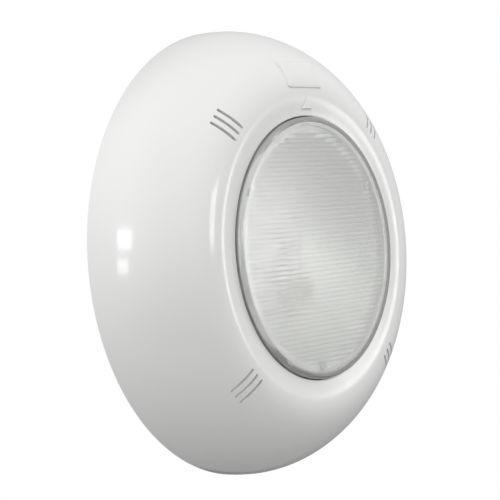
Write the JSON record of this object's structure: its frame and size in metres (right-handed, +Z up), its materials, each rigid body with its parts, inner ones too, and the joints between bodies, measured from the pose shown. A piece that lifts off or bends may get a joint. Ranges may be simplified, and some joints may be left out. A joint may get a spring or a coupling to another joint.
{
  "type": "underwater pool light",
  "caption": "Round surface-mounted underwater pool light: domed slotted face ring over a sealed lamp unit with a fluted clear lens, twisted onto a wall bracket.",
  "frame": {"origin": "centre of the four wall screw holes, on the bracket's back face, which lies on the pool wall", "axes": "+Y goes into the wall, so the light looks along -Y; +Z is up, towards the flat land on the face ring; +X is to the right seen from the pool"},
  "size_m": [0.29, 0.069, 0.29],
  "materials": {
    "white_abs": "glossy white moulded ABS, UV stable",
    "white_abs_back": "moulded white ABS, fine matt texture",
    "housing_grey": "light grey moulded polymer",
    "gland_black": "black polyamide",
    "rubber_black": "EPDM rubber",
    "silicone_pale": "translucent white silicone",
    "clear_lens": "clear polycarbonate, fluted face",
    "stainless": "stainless steel",
    "brass_turned": "turned brass",
    "reflector_alloy": "bright anodised aluminium, faceted",
    "steatite": "unglazed steatite",
    "pin_metal": "molybdenum and tungsten wire",
    "quartz": "fused quartz",
    "lead_sleeve": "heat resistant lead sleeving"
  },
  "bodies": {
    "bracket": {"wall_bracket": "white_abs_back"},
    "lamp_unit": {"lamp_body": "housing_grey", "gland_body": "gland_black", "gland_o_ring": "rubber_black", "gland_locknut": "gland_black", "gland_seal": "rubber_black", "gland_nut": "gland_black", "lens_gasket": "silicone_pale", "lens": "clear_lens", "clamp_ring": "housing_grey", "clamp_screws": "stainless", "clamp_inserts": "brass_turned", "reflector": "reflector_alloy", "reflector_standoffs": "brass_turned", "reflector_screws": "stainless", "lamp_holder": "steatite", "holder_fixing_screw": "stainless", "capsule_pins": "pin_metal", "capsule_glass": "quartz", "capsule_filament": "pin_metal", "holder_bracket": "stainless", "holder_bracket_screws": "stainless", "terminal_block": "steatite", "terminal_screws": "brass_turned", "terminal_block_screw": "stainless", "lamp_leads": "lead_sleeve", "bezel_grommets": "rubber_black"},
    "face_ring": {"bezel": "white_abs"}
  },
  "joints": [
    {"name": "lamp_unit_twist", "type": "hinge", "parent": "bracket", "child": "lamp_unit", "pos_m": [0, 0, 0], "axis": [0, -1, 0], "range_deg": [0, 30]},
    {"name": "face_ring_pull", "type": "slide", "parent": "lamp_unit", "child": "face_ring", "axis": [0, -1, 0], "range_m": [0, 0.09]}
  ]
}
